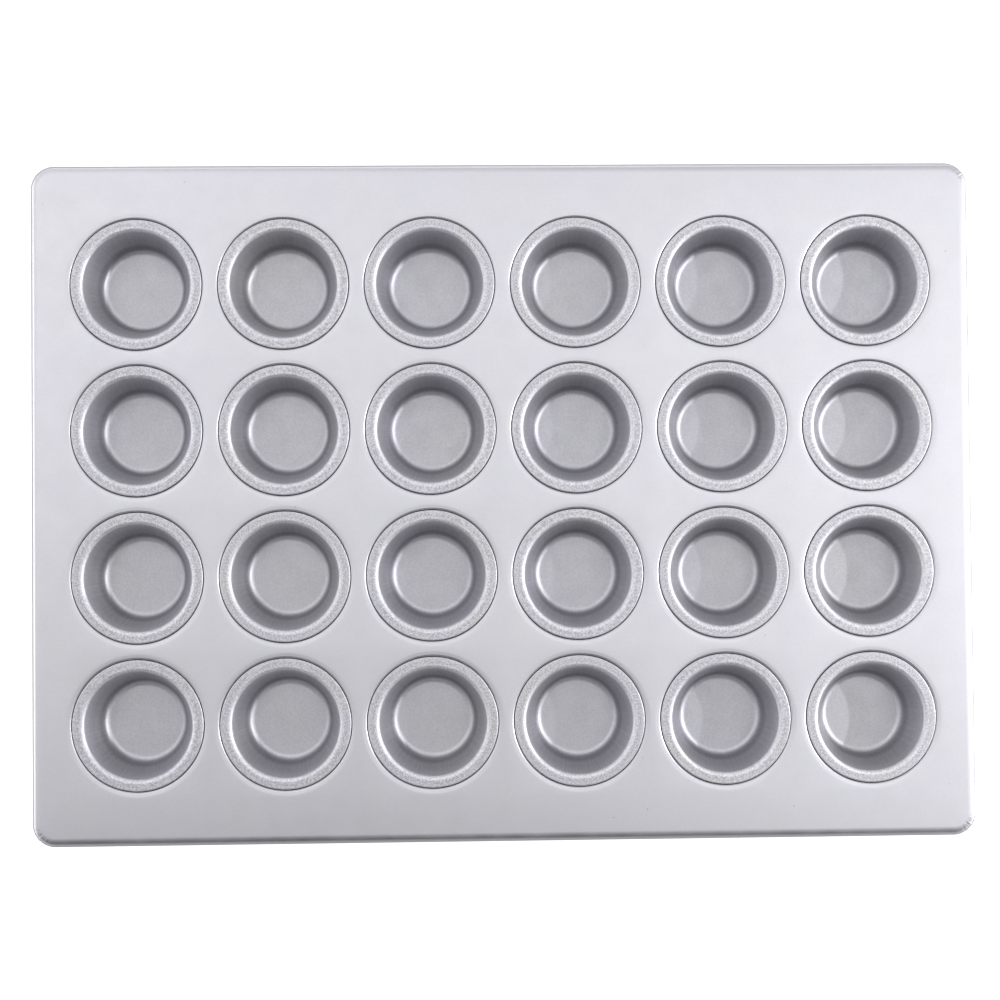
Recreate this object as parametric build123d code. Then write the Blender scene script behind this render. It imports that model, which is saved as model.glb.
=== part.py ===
from build123d import *
import os

# A half-size bakery pan for 24 mini muffins. Each cup is drawn from its own disc of sheet
# and locked into a collared hole of the frame sheet. The frame sheet's outer edge is rolled
# down round a wire.
# Millimetres, +Z up, +X along the pan's length. The origin is below the pan's centre, on the
# surface that the cups stand on.

# Driving dimensions
PAN_LENGTH = 454.0  # 17-7/8 in over the rim
PAN_WIDTH = 327.0  # 12-7/8 in over the rim
CORNER_RADIUS = 11.0  # of the rim, outside
COLUMNS = 6
ROWS = 4
CUP_PITCH = 70.5  # centre to centre, the same both ways
SHEET = 0.5  # 26 gauge aluminized steel, for the frame and for the cups

CUP_DEPTH = 19.05  # 3/4 in, from the frame's top face to the cup's floor
MOUTH_RADIUS = 26.1  # where the wall's line meets the top face
FLOOR_RADIUS = 19.4  # where the wall's line meets the floor
FLOOR_FILLET = 3.2
MOUTH_BEND = 2.2  # from the wall out to the flat ring
RING_BEND = 0.6  # from the flat ring down into the lock seam

WIRE_DIAMETER = 4.8  # 3/16 in
WIRE_CLEARANCE = 0.05  # between the wire and the roll
WIRE_JOINT_GAP = 1.0  # between the wire's two butted ends
ROLL_SWEEP = 305.0  # how far the rim's edge goes round the wire, in degrees

SEAM_RADIUS = 31.5  # inner face of the collar round each hole
COLLAR_BEND = 1.2  # from the frame's top face down into the collar
COLLAR_DEPTH = 3.2
SEAM_CLEARANCE = 0.1  # between the collar and the cup's hem, on every side
HEM_BEND = 0  # the fold below the collar is pressed square
HEM_RISE = 1.4  # how far the hem comes back up outside the collar

# Worked out from those
TOP = CUP_DEPTH + SHEET
ROLL_RADIUS = WIRE_DIAMETER / 2 + WIRE_CLEARANCE + SHEET
WIRE_HEIGHT = TOP - ROLL_RADIUS  # of its centre line


def between(near, far):
    """The section of a sheet whose two faces are these lines."""
    ends = [Line(near @ 0, far @ 0), Line(near @ 1, far @ 1)]
    return make_face(near.edges() + far.edges() + ShapeList(ends))


def bent_sheet(corners, bends, side):
    """The section of a sheet that is straight between its corners and bent at each of them.

    The corners and the bends' radii are those of one face, and a radius of 0 is a square
    corner in both. The sheet's thickness is on its left when side is 1, and on its right when
    side is -1.
    """
    near = [Vector(*corner) for corner in corners]
    runs = [(end - start).normalized() for start, end in zip(near, near[1:])]
    normals = [Vector(-run.Y, run.X) * side for run in runs]
    far = [near[0] + normals[0] * SHEET]
    far_bends = []
    for corner, before, after, bend, run in zip(near[1:], normals, normals[1:], bends, runs):
        mitre = before + after
        far.append(corner + mitre * (SHEET / mitre.dot(after)))
        turns_towards_thickness = run.dot(after) < 0
        far_bend = bend - SHEET if turns_towards_thickness else bend + SHEET
        far_bends.append(far_bend if bend else 0)
    far.append(near[-1] + normals[-1] * SHEET)
    return between(
        FilletPolyline(*near, radius=bends),
        FilletPolyline(*far, radius=far_bends),
    )


def cup_positions():
    """Row, column and centre of each cup. Rows count from the back, columns from the left."""
    for row in range(ROWS):
        for column in range(COLUMNS):
            x = (column - (COLUMNS - 1) / 2) * CUP_PITCH
            y = ((ROWS - 1) / 2 - row) * CUP_PITCH
            yield row + 1, column + 1, x, y


def round_the_rim(section, gap=0):
    """Sweeps a section (outward along X, upward along Y) round the rim at the wire's centre.

    The sweep runs from the middle of the back edge to the middle of the front edge, and its
    mirror image completes the loop, which can be left open by a gap at the back.
    """
    half_length = PAN_LENGTH / 2 - ROLL_RADIUS
    half_width = PAN_WIDTH / 2 - ROLL_RADIUS
    path = Pos(0, 0, WIRE_HEIGHT) * FilletPolyline(
        (-gap / 2, half_width),
        (-half_length, half_width),
        (-half_length, -half_width),
        (0, -half_width),
        radius=CORNER_RADIUS - ROLL_RADIUS,
    )
    back = Plane(origin=path @ 0, x_dir=(0, 1, 0), z_dir=(1, 0, 0))
    half = sweep(back * section, path=path)
    return half + mirror(half, about=Plane.YZ)


def rim_wire():
    """The wire inside the rolled edge."""
    return round_the_rim(Circle(WIRE_DIAMETER / 2), WIRE_JOINT_GAP)


def rolled_edge():
    """The frame's edge, rolled outwards, down and back round the wire."""
    outside = CenterArc((0, 0), ROLL_RADIUS, 90, -ROLL_SWEEP)
    inside = CenterArc((0, 0), ROLL_RADIUS - SHEET, 90, -ROLL_SWEEP)
    return round_the_rim(between(outside, inside))


def collar():
    """The ring of frame sheet that turns down into a hole, about the hole's axis."""
    top_face = [
        (SEAM_RADIUS + 2 * COLLAR_BEND, 0),
        (SEAM_RADIUS, 0),
        (SEAM_RADIUS, -COLLAR_DEPTH),
    ]
    return revolve(Plane.XZ * bent_sheet(top_face, [COLLAR_BEND], side=1), axis=Axis.Z)


def top_plate():
    """The frame: the flat sheet, its collared holes and its rolled edge."""
    flat = RectangleRounded(
        PAN_LENGTH - 2 * ROLL_RADIUS,
        PAN_WIDTH - 2 * ROLL_RADIUS,
        CORNER_RADIUS - ROLL_RADIUS,
    )
    centres = Locations([(x, y) for _, _, x, y in cup_positions()])
    flat -= centres * Circle(SEAM_RADIUS + COLLAR_BEND)
    plate = Pos(0, 0, TOP) * extrude(flat, -SHEET)
    plate += [Pos(x, y, TOP) * collar() for _, _, x, y in cup_positions()]
    return plate + rolled_edge()


def cup():
    """One cup about its own axis, with the frame's top face at height 0."""
    hem_inside = SEAM_RADIUS - SEAM_CLEARANCE
    hem_outside = SEAM_RADIUS + SHEET + SEAM_CLEARANCE
    hem_bottom = -COLLAR_DEPTH - SEAM_CLEARANCE
    upper_face = [
        (0, -CUP_DEPTH),
        (FLOOR_RADIUS, -CUP_DEPTH),
        (MOUTH_RADIUS, 0),
        (hem_inside, 0),
        (hem_inside, hem_bottom),
        (hem_outside, hem_bottom),
        (hem_outside, hem_bottom + HEM_RISE),
    ]
    bends = [FLOOR_FILLET, MOUTH_BEND, RING_BEND, HEM_BEND, HEM_BEND]
    return revolve(Plane.XZ * bent_sheet(upper_face, bends, side=-1), axis=Axis.Z)


def main():
    os.makedirs("parts", exist_ok=True)
    nodes = {"top_plate": top_plate(), "rim_wire": rim_wire()}
    one_cup = cup()
    for row, column, x, y in cup_positions():
        nodes[f"cup_r{row}c{column}"] = Pos(x, y, TOP) * one_cup
    for name, shape in nodes.items():
        export_step(shape, f"parts/{name}.step")
        print(name, "volume", round(shape.volume, 1), "valid", shape.is_valid)


main()
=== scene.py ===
"""The looks of a half-size bakery pan with 24 mini-muffin cups.

Lengths are in metres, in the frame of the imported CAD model: +X along the pan, +Y to its back,
+Z up, with the cups standing on z = 0. "Top" is the frame sheet's top face.
"""
import math

import bmesh
import bpy
import numpy as np
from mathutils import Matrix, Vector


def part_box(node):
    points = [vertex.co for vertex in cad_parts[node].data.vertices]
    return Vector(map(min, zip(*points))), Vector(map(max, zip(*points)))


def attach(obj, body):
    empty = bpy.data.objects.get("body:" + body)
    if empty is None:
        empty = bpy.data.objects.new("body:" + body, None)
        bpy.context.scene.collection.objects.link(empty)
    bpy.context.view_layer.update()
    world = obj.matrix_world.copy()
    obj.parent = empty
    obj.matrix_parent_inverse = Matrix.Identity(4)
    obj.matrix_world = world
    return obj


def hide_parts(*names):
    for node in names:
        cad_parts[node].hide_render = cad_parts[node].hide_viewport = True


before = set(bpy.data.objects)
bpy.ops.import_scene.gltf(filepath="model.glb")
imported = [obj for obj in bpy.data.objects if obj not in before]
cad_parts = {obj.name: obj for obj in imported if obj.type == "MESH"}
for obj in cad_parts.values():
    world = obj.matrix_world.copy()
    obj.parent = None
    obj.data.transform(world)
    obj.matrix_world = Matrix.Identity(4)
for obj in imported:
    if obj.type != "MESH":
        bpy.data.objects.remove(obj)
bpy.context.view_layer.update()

MM = 0.001

# ---------------------------------------------------------------- sizes, from the frame

PLATE_LOW, PLATE_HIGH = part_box("top_plate")
WIRE_LOW, WIRE_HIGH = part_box("rim_wire")
TOP = PLATE_HIGH.z
ROLL_RADIUS = (PLATE_HIGH.z - PLATE_LOW.z) / 2
WIRE_RADIUS = (WIRE_HIGH.z - WIRE_LOW.z) / 2
WIRE_HEIGHT = (WIRE_HIGH.z + WIRE_LOW.z) / 2
HALF_LENGTH = PLATE_HIGH.x - ROLL_RADIUS  # to the line above the wire's centre
HALF_WIDTH = PLATE_HIGH.y - ROLL_RADIUS

ROWS = 4
COLUMNS = 6
CUP_NAMES = [[f"cup_r{row + 1}c{column + 1}" for column in range(COLUMNS)] for row in range(ROWS)]


def centre_of(node):
    low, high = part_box(node)
    return (low.x + high.x) / 2, (low.y + high.y) / 2


PITCH = centre_of(CUP_NAMES[0][1])[0] - centre_of(CUP_NAMES[0][0])[0]

# Sizes that the frame's boxes don't show, the same as in the CAD model
SHEET = 0.5 * MM
CORNER_RADIUS = 11.0 * MM - ROLL_RADIUS  # of the line above the wire's centre
CUP_DEPTH = TOP - SHEET
MOUTH_RADIUS = 26.1 * MM
FLOOR_RADIUS = 19.4 * MM
FLOOR_FILLET = 3.2 * MM
MOUTH_BEND = 2.2 * MM
RING_BEND = 0.6 * MM
ROLL_SWEEP = math.radians(305)
SEAM_RADIUS = 31.5 * MM
COLLAR_BEND = 1.2 * MM
COLLAR_DEPTH = 3.2 * MM
SEAM_CLEARANCE = 0.1 * MM
HEM_RISE = 1.4 * MM
SHARP = 0.01 * MM  # the radius of a square corner
COLLAR_MARGIN = 1.6 * MM  # of flat sheet that a hole's outline starts with
WIRE_JOINT_GAP = 1.0 * MM

# Small shapes that only the looks have
SINK = 0.12 * MM  # how far the frame sheet is drawn down round each seam
SINK_WIDTH = 0.9 * MM  # and how far out that reaches
FLOOR_CROWN = 0.10 * MM  # the cup floors stand up a little in the middle
CUP_WAVE = 0.03 * MM  # how far a cup's wall is from perfectly round
CRIMP_DEPTH = 0.08 * MM  # ripples in the rolled edge at the pan's corners
EASE_WIDTH = 1.9 * MM  # how far inside the wire's centre line the sheet starts to bend down
EASE_TILT = math.radians(15)  # how steep it is where it meets the round of the roll

# How finely the meshes are divided
AROUND = 80  # points round each hole and cup, a multiple of 8
AROUND_WIRE = 20
CORNER_STEPS = 40  # round each corner of the pan
BEND_STEPS = 7  # through each bend of a collar or cup
EASE_STEPS = 6  # along the stretch that eases down to the roll
ROLL_STEPS = 18  # round the roll
WELD_DISTANCE = 0.002 * MM  # points nearer than this become one

# The bend eases the sheet down along a parabola, which sets the roll and its wire this much lower
EASE_REACH = EASE_WIDTH + ROLL_RADIUS * math.sin(EASE_TILT)
EASE_FALL = EASE_REACH * math.tan(EASE_TILT) / 2
ROLL_DROP = EASE_FALL - ROLL_RADIUS * (1 - math.cos(EASE_TILT))


# ---------------------------------------------------------------- outlines


def unit(vector):
    return vector / np.linalg.norm(vector)


def left_of(vector):
    return np.array([-vector[1], vector[0]])


def bent_line(corners, bends, steps, spacing, support=0.3 * MM):
    """Points along a line that is rounded at its corners, and the left-hand normal at each.

    Each straight run gets a point near each of its ends, so that smooth shading stays flat on
    the run, and more between them where they would be over spacing apart.
    """
    corners = [np.array(corner, float) for corner in corners]
    runs = [unit(end - start) for start, end in zip(corners, corners[1:])]
    points = [corners[0]]
    normals = [left_of(runs[0])]

    def straight_to(end, normal):
        start = points[-1]
        length = np.linalg.norm(end - start)
        inset = min(support, length / 3)
        count = 1 + math.ceil((length - 2 * inset) / spacing)
        for distance in (*np.linspace(inset, length - inset, count), length):
            points.append(start + (end - start) * distance / length)
            normals.append(normal)

    for corner, before, after, bend in zip(corners[1:], runs, runs[1:], bends):
        turn = math.atan2(before[0] * after[1] - before[1] * after[0], before @ after)
        tangent_length = bend * math.tan(abs(turn) / 2)
        start = corner - before * tangent_length
        straight_to(start, left_of(before))
        side = math.copysign(1, turn)
        hub = start + left_of(before) * bend * side
        for step in range(1, steps + 1):
            angle = turn * step / steps
            cos, sin = math.cos(angle), math.sin(angle)
            rotated = np.array([[cos, -sin], [sin, cos]]) @ left_of(before)
            points.append(hub - rotated * bend * side)
            normals.append(rotated)
    straight_to(corners[-1], left_of(runs[-1]))
    return np.array(points), np.array(normals)


def sheet_outline(points, normals, thickness):
    """Along one face of a sheet and back along the other, which is thickness to the left."""
    return np.vstack([points, (points + normals * thickness)[::-1]])


# ---------------------------------------------------------------- meshes


class Patchwork:
    """Grids of points that become one welded mesh."""

    def __init__(self):
        self.points = []
        self.faces = []

    def grid(self, rows, wrap=False):
        """Adds faces between rows of points, each a list of the same length."""
        first = len(self.points)
        width = len(rows[0])
        for row in rows:
            self.points.extend(row)
        for i in range(len(rows) - 1):
            for j in range(width if wrap else width - 1):
                k = (j + 1) % width
                a = first + i * width
                b = a + width
                self.faces.append((a + j, a + k, b + k, b + j))

    def fan(self, hub, rim, wrap=False):
        """Adds triangles from one point to each span of a line."""
        first = len(self.points)
        self.points.append(hub)
        self.points.extend(rim)
        count = len(rim)
        for j in range(count if wrap else count - 1):
            self.faces.append((first, first + 1 + j, first + 1 + (j + 1) % count))

    def mesh(self, name):
        data = bpy.data.meshes.new(name)
        data.from_pydata([tuple(point) for point in self.points], [], self.faces)
        welded = bmesh.new()
        welded.from_mesh(data)
        bmesh.ops.remove_doubles(welded, verts=welded.verts, dist=WELD_DISTANCE)
        bmesh.ops.recalc_face_normals(welded, faces=welded.faces)
        for face in welded.faces:
            face.smooth = True
        welded.to_mesh(data)
        welded.free()
        return data


def new_piece(name, data, material, replaced, location=(0, 0, 0)):
    """Adds a piece of the pan that stands for a CAD node."""
    piece = bpy.data.objects.new(name, data)
    bpy.context.scene.collection.objects.link(piece)
    piece.location = location
    data.materials.append(material)
    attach(piece, "root")
    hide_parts(replaced)
    return piece


# ---------------------------------------------------------------- the frame sheet


def square_side():
    """Where the points of one side of a cup's square cell lie, from -half to +half pitch."""
    eighth = AROUND // 8
    return [
        PITCH / 2 * math.tan(2 * math.pi * step / AROUND) for step in range(-eighth, eighth + 1)
    ]


def on_square(angle):
    """The point of the cell's edge in a direction."""
    reach = PITCH / 2 / max(abs(math.cos(angle)), abs(math.sin(angle)))
    return reach * math.cos(angle), reach * math.sin(angle)


def sunk(radius):
    """How far the sheet is drawn down at a distance from a cup's axis."""
    beyond = max(0.0, radius - SEAM_RADIUS - COLLAR_BEND)
    return SINK * math.exp(-((beyond / SINK_WIDTH) ** 2))


def collar_outline():
    """Radius and height of the sheet round a hole, from its top face down and back under."""
    corners = [
        (SEAM_RADIUS + COLLAR_BEND + COLLAR_MARGIN, 0),
        (SEAM_RADIUS, 0),
        (SEAM_RADIUS, -COLLAR_DEPTH),
    ]
    points, normals = bent_line(corners, [COLLAR_BEND], steps=BEND_STEPS, spacing=0.5 * MM)
    outline = sheet_outline(points, normals, SHEET)
    return [(radius, TOP + height - sunk(radius)) for radius, height in outline]


def add_cell(patches, centre, outline):
    """One cup's square of the sheet, with its collared hole."""
    angles = [2 * math.pi * step / AROUND for step in range(AROUND)]
    rings = [
        [(centre[0] + r * math.cos(a), centre[1] + r * math.sin(a), z) for a in angles]
        for r, z in outline
    ]
    edge = [on_square(angle) for angle in angles]
    above = [(centre[0] + x, centre[1] + y, TOP) for x, y in edge]
    below = [(centre[0] + x, centre[1] + y, TOP - SHEET) for x, y in edge]
    patches.grid([above, *rings, below], wrap=True)


def rim_stations():
    """Round the line above the wire's centre: each point, its outward normal and how far it
    is through a corner, from 0 to 1, or None on a straight side. The list has four parts, one
    for each side with the corner that follows it."""
    parts = []
    for quarter in range(4):
        cells, across, along = (ROWS, HALF_LENGTH, HALF_WIDTH)
        if quarter % 2 == 1:
            cells, across, along = (COLUMNS, HALF_WIDTH, HALF_LENGTH)
        places = sorted(
            {
                round(offset + (cell - (cells - 1) / 2) * PITCH, 9)
                for cell in range(cells)
                for offset in square_side()
            }
        )
        local = [((across, place), (1, 0), None) for place in places]
        hub = np.array([across - CORNER_RADIUS, along - CORNER_RADIUS])
        for step in range(CORNER_STEPS + 1):
            angle = math.pi / 2 * step / CORNER_STEPS
            outward = np.array([math.cos(angle), math.sin(angle)])
            local.append((hub + outward * CORNER_RADIUS, outward, step / CORNER_STEPS))
        turn = quarter * math.pi / 2
        rotation = np.array(
            [[math.cos(turn), -math.sin(turn)], [math.sin(turn), math.cos(turn)]]
        )
        parts.append(
            [(rotation @ np.array(p), rotation @ np.array(n), share) for p, n, share in local]
        )
    return parts


def roll_outline():
    """The section of the rolled edge: how far out, how high, and how far through the bend."""
    last_angle = math.pi / 2 - ROLL_SWEEP
    first_angle = math.pi / 2 - EASE_TILT
    count = EASE_STEPS + ROLL_STEPS
    faces = []
    for thickness in (0.0, SHEET):
        face = []
        for step in range(EASE_STEPS):
            share = step / EASE_STEPS
            height = TOP - EASE_FALL * share**2 - thickness
            face.append((EASE_REACH * share - EASE_WIDTH, height, step / count))
        radius = ROLL_RADIUS - thickness
        for step in range(ROLL_STEPS + 1):
            angle = first_angle + (last_angle - first_angle) * step / ROLL_STEPS
            height = WIRE_HEIGHT - ROLL_DROP + radius * math.sin(angle)
            face.append((radius * math.cos(angle), height, (EASE_STEPS + step) / count))
        faces.append(face)
    return faces[0] + faces[1][::-1]


def crimp(share, through, corner):
    """How far the ripples of a corner, where the sheet gathers, press the roll in or out. They
    are the sum of two trains of waves, and fade out at both ends of the corner and at the
    last ripple through the bend."""
    last_ripple = 0.62
    if share is None or through > last_ripple:
        return 0.0
    along = math.sin(math.pi * share)
    across = math.sin(math.pi * through / last_ripple)
    phase = 1.7 * corner
    ripple = 0.5 * math.sin(2 * math.pi * (5.3 * share + 0.6 * through) + phase)
    ripple += 0.5 * math.sin(2 * math.pi * (9.1 * share - 1.1 * through) + 2.3 * phase)
    return CRIMP_DEPTH * along * across * (ripple - 0.4)


def add_border(patches, parts):
    """The flat border of the sheet, between the cups' squares and the roll: a strip along
    each side and a fan at each corner."""
    margins = [HALF_LENGTH - COLUMNS * PITCH / 2, HALF_WIDTH - ROWS * PITCH / 2]
    for height in (TOP, TOP - SHEET):
        for quarter, part in enumerate(parts):
            straight = [(p, n) for p, n, share in part if share is None]
            inner = [(*(p - n * margins[quarter % 2]), height) for p, n in straight]
            outer = [(*(p - n * EASE_WIDTH), height) for p, n in straight]
            patches.grid([inner, outer])
            following = parts[(quarter + 1) % 4][0]
            corner = [part[len(straight) - 1], *part[len(straight):], following]
            rim = [(*(p - n * EASE_WIDTH), height) for p, n, _ in corner]
            patches.fan(inner[-1], rim)


def add_roll(patches, parts):
    """The rolled edge, all the way round."""
    section = roll_outline()
    rows = []
    for quarter, part in enumerate(parts):
        for point, outward, share in part:
            row = []
            for out, height, through in section:
                swell = 1 + crimp(share, through, quarter) / ROLL_RADIUS
                lift = (height - WIRE_HEIGHT) * swell
                row.append((*(point + outward * out * swell), WIRE_HEIGHT + lift))
            rows.append(row)
    patches.grid([*rows, rows[0]])


def frame_sheet_mesh():
    """The whole sheet: the cups' squares, the border round them and the rolled edge."""
    patches = Patchwork()
    outline = collar_outline()
    for name in sum(CUP_NAMES, []):
        add_cell(patches, centre_of(name), outline)
    parts = rim_stations()
    add_border(patches, parts)
    add_roll(patches, parts)
    return patches.mesh("frame_sheet")


# ---------------------------------------------------------------- the rim wire


def rim_wire_mesh():
    """The wire's loop, open at its joint in the middle of the back edge."""
    patches = Patchwork()
    middle = WIRE_HEIGHT - ROLL_DROP
    angles = [2 * math.pi * side / AROUND_WIRE for side in range(AROUND_WIRE)]
    loop = [(point, outward) for part in rim_stations() for point, outward, _ in part]
    back = max(range(len(loop)), key=lambda i: (round(loop[i][0][1], 6), -abs(loop[i][0][0])))
    joint, backward = loop[back]
    half_gap = np.array([WIRE_JOINT_GAP / 2, 0])
    ends = [(joint - half_gap, backward), (joint + half_gap, backward)]
    rings = []
    for point, outward in [ends[0], *loop[back + 1:], *loop[:back], ends[1]]:
        ring = []
        for angle in angles:
            out = outward * WIRE_RADIUS * math.cos(angle)
            ring.append((*(point + out), middle + WIRE_RADIUS * math.sin(angle)))
        rings.append(ring)
    patches.grid(rings, wrap=True)
    for (point, _), ring in zip(ends, (rings[0], rings[-1])):
        patches.fan((*point, middle), ring, wrap=True)
    return patches.mesh("rim_wire_loop")


# ---------------------------------------------------------------- the cups


def cup_outline():
    """Radius and height of a cup's section below the top, from the middle of its floor out
    over the ring, round the collar, and back under."""
    hem_inside = SEAM_RADIUS - SEAM_CLEARANCE
    hem_outside = SEAM_RADIUS + SHEET + SEAM_CLEARANCE
    hem_bottom = -COLLAR_DEPTH - SEAM_CLEARANCE
    middle_disc = 4 * MM  # the radius that the outline leaves open
    corners = [
        (middle_disc, -CUP_DEPTH),
        (FLOOR_RADIUS, -CUP_DEPTH),
        (MOUTH_RADIUS, 0),
        (hem_inside, 0),
        (hem_inside, hem_bottom),
        (hem_outside, hem_bottom),
        (hem_outside, hem_bottom + HEM_RISE),
    ]
    bends = [FLOOR_FILLET, MOUTH_BEND, RING_BEND, SHARP, SHARP]
    points, normals = bent_line(corners, bends, steps=BEND_STEPS, spacing=3 * MM)
    return sheet_outline(points, -normals, SHEET)


def cup_mesh(name, phase):
    """A cup about its own axis, with the top at height 0. The phase makes each cup's slight
    waves its own."""
    outline = cup_outline()
    angles = [2 * math.pi * step / AROUND for step in range(AROUND)]
    rings = []
    for radius, height in outline:
        crown = FLOOR_CROWN * max(0.0, 1 - (radius / (FLOOR_RADIUS - FLOOR_FILLET)) ** 2)
        if height > -CUP_DEPTH + FLOOR_FILLET:
            crown = 0.0
        ring = []
        for angle in angles:
            lift = CUP_WAVE * (height / CUP_DEPTH) * math.sin(2 * angle + phase)
            out = radius + lift * min(1.0, radius / FLOOR_RADIUS)
            ring.append((out * math.cos(angle), out * math.sin(angle), height + crown))
        rings.append(ring)
    patches = Patchwork()
    patches.grid(rings, wrap=True)
    patches.fan((0, 0, -CUP_DEPTH + FLOOR_CROWN), rings[0], wrap=True)
    patches.fan((0, 0, -CUP_DEPTH - SHEET + FLOOR_CROWN), rings[-1], wrap=True)
    return patches.mesh(name)


# ---------------------------------------------------------------- materials


class Shader:
    """A node tree with short ways to add what these metals need."""

    def __init__(self, name):
        self.material = bpy.data.materials.new(name)
        self.material.use_nodes = True
        self.tree = self.material.node_tree
        self.surface = self.tree.nodes["Principled BSDF"]
        self.place = self.node("ShaderNodeTexCoord").outputs["Object"]

    def node(self, kind, **settings):
        """Adds a node of a kind, with its settings."""
        made = self.tree.nodes.new(kind)
        for key, value in settings.items():
            setattr(made, key, value)
        return made

    def put(self, socket, value):
        """Links an output to a socket, or sets the socket."""
        if isinstance(value, bpy.types.NodeSocket):
            self.tree.links.new(value, socket)
        else:
            socket.default_value = value

    def maths(self, operation, *values):
        """The result of an operation on numbers or outputs."""
        made = self.node("ShaderNodeMath", operation=operation)
        for socket, value in zip(made.inputs, values):
            self.put(socket, value)
        return made.outputs[0]

    def vectors(self, operation, *values, result="Vector"):
        """The result of an operation on vectors or outputs."""
        made = self.node("ShaderNodeVectorMath", operation=operation)
        for socket, value in zip(made.inputs, values):
            self.put(socket, value)
        return made.outputs[result]

    def noise(self, size, detail=2.0, place=None, seed=0.0):
        """Noise whose features are about size across, from 0 to 1."""
        made = self.node("ShaderNodeTexNoise", noise_dimensions="4D")
        self.put(made.inputs["Vector"], place or self.place)
        self.put(made.inputs["W"], seed)
        made.inputs["Scale"].default_value = 1 / size
        made.inputs["Detail"].default_value = detail
        return made.outputs["Fac"]

    def spread(self, value, low, high, to_low=0.0, to_high=1.0):
        """Maps low..high to to_low..to_high, and stops there."""
        made = self.node("ShaderNodeMapRange")
        self.put(made.inputs["Value"], value)
        made.inputs["From Min"].default_value = low
        made.inputs["From Max"].default_value = high
        made.inputs["To Min"].default_value = to_low
        made.inputs["To Max"].default_value = to_high
        return made.outputs["Result"]

    def mix(self, share, a, b, blend="MIX"):
        """The colour that is a share of the way from a to b."""
        made = self.node("ShaderNodeMix", data_type="RGBA", blend_type=blend)
        self.put(made.inputs["Factor"], share)
        self.put(made.inputs[6], a)  # 6, 7 and output 2 are the node's colour sockets
        self.put(made.inputs[7], b)
        return made.outputs[2]

    def bump(self, height, distance, onto=None):
        """The normal of a surface that a height of 1 raises by distance."""
        made = self.node("ShaderNodeBump")
        self.put(made.inputs["Height"], height)
        made.inputs["Distance"].default_value = distance
        made.inputs["Strength"].default_value = 1.0
        if onto is not None:
            self.put(made.inputs["Normal"], onto)
        return made.outputs["Normal"]

    def level(self, place):
        """A place with its height set to 0."""
        return self.vectors("MULTIPLY", place, (1, 1, 0))

    def from_axis(self, place):
        """The distance of a place from the Z axis."""
        return self.vectors("LENGTH", self.level(place), result="Value")

    def height(self):
        """The height in the piece's own coordinates."""
        split = self.node("ShaderNodeSeparateXYZ")
        self.put(split.inputs[0], self.place)
        return split.outputs["Z"]

    def band(self, value, middle, half_width, strength):
        """A soft hump of the given strength round one value."""
        away = self.maths("ABSOLUTE", self.maths("SUBTRACT", value, middle))
        made = self.node("ShaderNodeMapRange", interpolation_type="SMOOTHSTEP")
        self.put(made.inputs["Value"], away)
        made.inputs["From Min"].default_value = 0.0
        made.inputs["From Max"].default_value = half_width
        made.inputs["To Min"].default_value = strength
        made.inputs["To Max"].default_value = 0.0
        return made.outputs["Result"]


COOL_STEEL = (0.795, 0.788, 0.850, 1)
WARM_STEEL = (0.795, 0.785, 0.765, 1)
DARK_SPECK = (0.35, 0.34, 0.34, 1)
DARK_WIRE = (0.30, 0.29, 0.28, 1)
PALE_WIRE = (0.52, 0.51, 0.50, 1)
FRAME_TONE = 0.925  # how bright the frame sheet is, as a share of those colours
CUP_TONE = 0.81
PAINTED_SEAM_SHADE = 0.85  # how much darker the painted shade down in the seams makes the steel
SEAM_DARK = -0.9 * MM  # the height from the top where that shade is full


def glazed_steel(shader, roughness, warmth, grain, tone):
    """Satin aluminized steel under a clear glaze: fine mottling, faint warm patches, a few
    specks, and a soft grain. Tone scales its brightness. Returns the mottling and a seed."""
    seed = shader.maths(
        "MULTIPLY", shader.node("ShaderNodeObjectInfo").outputs["Random"], 50.0
    )
    speck_spacing = 14 * MM
    patches = shader.noise(30 * MM, detail=3, seed=seed)
    warm = shader.spread(patches, 0.48, 0.68, 0.0, warmth)
    colour = shader.mix(warm, COOL_STEEL, WARM_STEEL)
    mottle = shader.noise(0.8 * MM, detail=2, seed=seed)
    swing = shader.maths("MULTIPLY", shader.spread(mottle, 0.38, 0.62, -0.5, 0.5), grain)
    shade = shader.maths("MULTIPLY", shader.maths("ADD", swing, 1.0), tone)
    colour = shader.mix(1.0, colour, shade, blend="MULTIPLY")
    spots = shader.node("ShaderNodeTexVoronoi")
    shader.put(spots.inputs["Vector"], shader.place)
    spots.inputs["Scale"].default_value = 1 / speck_spacing
    speck = shader.spread(spots.outputs["Distance"], 0.018, 0.03, 0.6, 0.0)
    colour = shader.mix(speck, colour, DARK_SPECK)
    shader.put(shader.surface.inputs["Base Color"], colour)
    shader.surface.inputs["Metallic"].default_value = 1.0
    cloud = shader.noise(9 * MM, detail=3, seed=seed)
    rough = shader.spread(cloud, 0.3, 0.7, roughness - 0.03, roughness + 0.03)
    shader.put(shader.surface.inputs["Roughness"], rough)
    return mottle, seed


def from_cup_axis(shader):
    """On the frame sheet, the distance from the nearest cup's axis."""
    inset = 0.001  # so that the sheet's border belongs to the cells next to it
    high = (COLUMNS / 2 - inset, ROWS / 2 - inset, 1)
    low = tuple(-limit for limit in high)
    cell = shader.vectors("DIVIDE", shader.place, (PITCH, PITCH, 1))
    cell = shader.vectors("MINIMUM", shader.vectors("MAXIMUM", cell, low), high)
    in_cell = shader.vectors("FRACTION", cell)
    from_middle = shader.vectors("SUBTRACT", in_cell, (0.5, 0.5, 0))
    return shader.maths("MULTIPLY", shader.from_axis(from_middle), PITCH)


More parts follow.
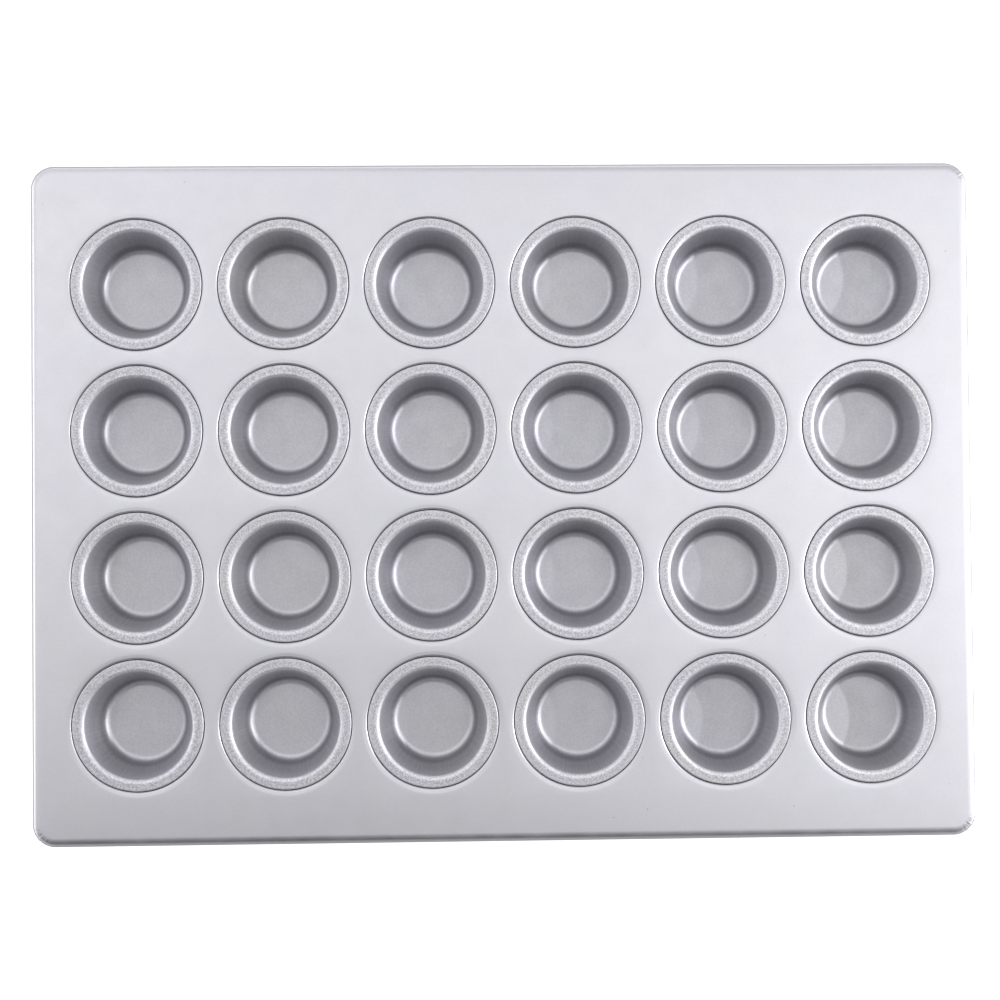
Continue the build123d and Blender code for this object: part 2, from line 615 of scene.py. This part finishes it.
def frame_material():
    """The frame sheet's steel, with painted shade down in the seams, and bright along the roll.
    """
    shader = Shader("glazed_frame_steel")
    height = shader.height()
    # painted shade down in the seam groove round each collar
    painted_seam_shade = shader.spread(height, TOP + SEAM_DARK, TOP - 0.45 * MM, PAINTED_SEAM_SHADE, 0.0)
    collar = shader.maths("LESS_THAN", from_cup_axis(shader), SEAM_RADIUS + 2 * MM)
    shade = shader.maths("MULTIPLY", painted_seam_shade, collar)
    tone = shader.maths("SUBTRACT", 1.0, shade)
    # a brighter band along the top of the roll
    roll_brightening = shader.band(height, TOP - ROLL_DROP - 0.3 * MM, 0.5 * MM, 0.10)
    on_roll = shader.maths("SUBTRACT", 1.0, collar)
    tone = shader.maths("ADD", tone, shader.maths("MULTIPLY", roll_brightening, on_roll))
    tone = shader.maths("MULTIPLY", tone, FRAME_TONE)
    mottle, seed = glazed_steel(shader, roughness=0.40, warmth=0.2, grain=0.03, tone=tone)
    sheet_wave = shader.noise(38 * MM, detail=1, seed=seed)
    normal = shader.bump(sheet_wave, 0.10 * MM)
    normal = shader.bump(mottle, 0.006 * MM, onto=normal)
    shader.put(shader.surface.inputs["Normal"], normal)
    return shader.material


def draw_lines(shader):
    """Noise that changes round a cup's axis and not down its wall, from 0 to 1."""
    lines_per_radian = 26
    direction = shader.vectors("NORMALIZE", shader.level(shader.place))
    return shader.noise(1 / lines_per_radian, detail=4, place=direction)


def cup_material():
    """Drawn sheet: the same steel, rougher and duller, with painted highlights over the bends,
    painted shade at the foot and middle of the wall and down in the seam, and draw lines down the
    wall."""
    shader = Shader("glazed_cup_steel")
    radius = shader.from_axis(shader.place)
    middle_of_wall = (FLOOR_RADIUS + MOUTH_RADIUS) / 2
    middle_of_ring = (MOUTH_RADIUS + SEAM_RADIUS) / 2
    # painted highlights and painted shade: where, how wide to each side, and how much brighter
    painted_light_bands = [
        (FLOOR_RADIUS - 0.9 * MM, 1.3 * MM, 0.20),  # painted highlight at the start of the bend round the floor
        (FLOOR_RADIUS + 1.3 * MM, 1.6 * MM, -0.28),  # painted shade at the foot of the wall
        # painted shade down the middle of the wall
        (middle_of_wall, 4.5 * MM, -0.24),
        (MOUTH_RADIUS + 0.9 * MM, 1.6 * MM, 0.28),  # painted highlight on the bend of the mouth
        (SEAM_RADIUS - 1.0 * MM, 1.5 * MM, 0.08),  # painted highlight on the ring's edge
    ]
    tone = 1.0
    for place, half_width, strength in painted_light_bands:
        tone = shader.maths("ADD", shader.band(radius, place, half_width, strength), tone)
    # painted shade down in the seam, on the hem that tucks under the collar
    in_seam = shader.maths("GREATER_THAN", radius, SEAM_RADIUS - 0.5 * MM)
    painted_seam_shade = shader.spread(shader.height(), SEAM_DARK, -0.35 * MM, PAINTED_SEAM_SHADE, 0.0)
    tone = shader.maths("SUBTRACT", tone, shader.maths("MULTIPLY", painted_seam_shade, in_seam))
    streak_tone = shader.spread(draw_lines(shader), 0.3, 0.7, -0.07, 0.07)
    on_wall = shader.band(radius, middle_of_wall, 4 * MM, 1.0)
    tone = shader.maths("ADD", tone, shader.maths("MULTIPLY", streak_tone, on_wall))
    tone = shader.maths("MULTIPLY", tone, CUP_TONE)
    on_ring = shader.band(radius, middle_of_ring, 4 * MM, 0.30)
    grain = shader.maths("ADD", on_ring, 0.10)
    mottle, _ = glazed_steel(shader, roughness=0.54, warmth=0.35, grain=grain, tone=tone)
    shader.put(shader.surface.inputs["Normal"], shader.bump(mottle, 0.03 * MM))
    return shader.material


def wire_material():
    """Drawn steel wire: darker, and a little scratched."""
    shader = Shader("drawn_wire_steel")
    scratches = shader.noise(0.4 * MM, detail=4)
    shader.put(shader.surface.inputs["Base Color"], shader.mix(scratches, DARK_WIRE, PALE_WIRE))
    shader.surface.inputs["Metallic"].default_value = 1.0
    shader.put(shader.surface.inputs["Roughness"], shader.spread(scratches, 0, 1, 0.35, 0.6))
    shader.put(shader.surface.inputs["Normal"], shader.bump(scratches, 0.01 * MM))
    return shader.material


# ---------------------------------------------------------------- the scene


def add_camera():
    """Nearly straight above the pan, a little left of and in front of its centre."""
    above_top = 706.7 * MM
    tilt = [math.radians(degrees) for degrees in (1.153, -1.212, -0.528)]  # about X, Y and Z
    data = bpy.data.cameras.new("camera")
    data.sensor_width = 36.0  # this and the lens are in millimetres
    data.lens = 52.85
    data.clip_end = 20
    camera = bpy.data.objects.new("camera", data)
    bpy.context.scene.collection.objects.link(camera)
    camera.location = (-17.2 * MM, -13.5 * MM, TOP + above_top)
    camera.rotation_mode = "AXIS_ANGLE"
    angle = math.hypot(*tilt)
    camera.rotation_axis_angle = (angle, *(part / angle for part in tilt))
    bpy.context.scene.camera = camera


def add_floor():
    """A matt white floor, lit up to plain white where the camera sees it."""
    half_size = 6.0
    below_pan = 0.05 * MM
    data = bpy.data.meshes.new("floor")
    corners = [
        (x * half_size, y * half_size, 0) for x, y in ((-1, -1), (1, -1), (1, 1), (-1, 1))
    ]
    data.from_pydata(corners, [], [(0, 1, 2, 3)])
    floor = bpy.data.objects.new("floor", data)
    floor.location.z = -below_pan
    bpy.context.scene.collection.objects.link(floor)
    shader = Shader("pale_floor")
    shader.surface.inputs["Base Color"].default_value = (0.5, 0.5, 0.5, 1)
    shader.surface.inputs["Roughness"].default_value = 0.9
    shader.surface.inputs["Emission Color"].default_value = (1, 1, 1, 1)
    seen = shader.node("ShaderNodeLightPath").outputs["Is Camera Ray"]
    shader.put(shader.surface.inputs["Emission Strength"], seen)
    data.materials.append(shader.material)


# Rings of pools of light in the sky: degrees off the vertical, the pools' radius in degrees, and
# the brightness of each by its bearing in degrees from +X towards +Y
SKY_POOLS = [
    (22, 30, {0: 1.28, 120: 0.66, 180: 0.60}),
    (45, 32, {0: 0.32, 45: 0.37, 90: 0.30, 135: 0.46, 180: 0.45}),
    (68, 32, {135: 0.18, 315: 0.08}),
    (90, 40, {0: 3.1, 90: 1.4, 180: 2.26, 270: 0.44}),
    (90, 35, {45: 0.8, 135: 0.8, 225: 0.8, 315: 0.8}),
]


def light_pool(tree, direction, toward, radius, brightness):
    """A soft round pool of light toward a point of the sky."""
    facing = tree.nodes.new("ShaderNodeVectorMath")
    facing.operation = "DOT_PRODUCT"
    facing.inputs[1].default_value = toward
    tree.links.new(direction, facing.inputs[0])
    pool = tree.nodes.new("ShaderNodeMapRange")
    pool.interpolation_type = "SMOOTHSTEP"
    pool.inputs["From Min"].default_value = math.cos(math.radians(radius))
    pool.inputs["From Max"].default_value = 1.0
    pool.inputs["To Max"].default_value = brightness
    tree.links.new(facing.outputs["Value"], pool.inputs["Value"])
    return pool.outputs["Result"]


def add_sky():
    """A soft studio sky, the sum of its pools of light. To the camera it is as white as the
    floor."""
    world = bpy.data.worlds.new("studio")
    bpy.context.scene.world = world
    world.use_nodes = True
    tree = world.node_tree
    direction = tree.nodes.new("ShaderNodeTexCoord").outputs["Generated"]
    total = None
    for off_vertical, radius, brightness_by_bearing in SKY_POOLS:
        lean = math.radians(off_vertical)
        for bearing, brightness in brightness_by_bearing.items():
            turn = math.radians(bearing)
            across = math.sin(lean)
            toward = (across * math.cos(turn), across * math.sin(turn), math.cos(lean))
            pool = light_pool(tree, direction, toward, radius, brightness)
            if total is None:
                total = pool
                continue
            adder = tree.nodes.new("ShaderNodeMath")
            tree.links.new(total, adder.inputs[0])
            tree.links.new(pool, adder.inputs[1])
            total = adder.outputs[0]
    to_camera = tree.nodes.new("ShaderNodeLightPath").outputs["Is Camera Ray"]
    strength = tree.nodes.new("ShaderNodeMix")
    tree.links.new(to_camera, strength.inputs["Factor"])
    tree.links.new(total, strength.inputs["A"])
    strength.inputs["B"].default_value = 1.0
    background = tree.nodes["Background"]
    background.inputs["Color"].default_value = (1, 1, 1, 1)
    tree.links.new(strength.outputs["Result"], background.inputs["Strength"])


def add_lamp():
    """A small bright lamp off to the right, for the crescents of light in the cups. It points
    at the pan's centre."""
    data = bpy.data.lights.new("lamp", "AREA")
    data.shape = "DISK"
    data.size = 25 * MM
    data.energy = 5.5  # watts
    lamp = bpy.data.objects.new("lamp", data)
    lamp.location = (1.18, -0.03, 0.58)
    lamp.rotation_mode = "QUATERNION"
    lamp.rotation_quaternion = (-lamp.location).to_track_quat("-Z", "Y")
    bpy.context.scene.collection.objects.link(lamp)


# ---------------------------------------------------------------- everything together


add_camera()
add_floor()
add_sky()
add_lamp()
bpy.context.scene.view_settings.view_transform = "Standard"

new_piece("frame_sheet", frame_sheet_mesh(), frame_material(), "top_plate")
new_piece("rim_wire_loop", rim_wire_mesh(), wire_material(), "rim_wire")
cup_steel = cup_material()
phase_step = 2.4  # an angle that gives no two cups the same waves
for index, name in enumerate(sum(CUP_NAMES, [])):
    x, y = centre_of(name)
    piece = f"{name}_shell"
    shell = cup_mesh(piece, phase_step * index)
    new_piece(piece, shell, cup_steel, name, (x, y, TOP))
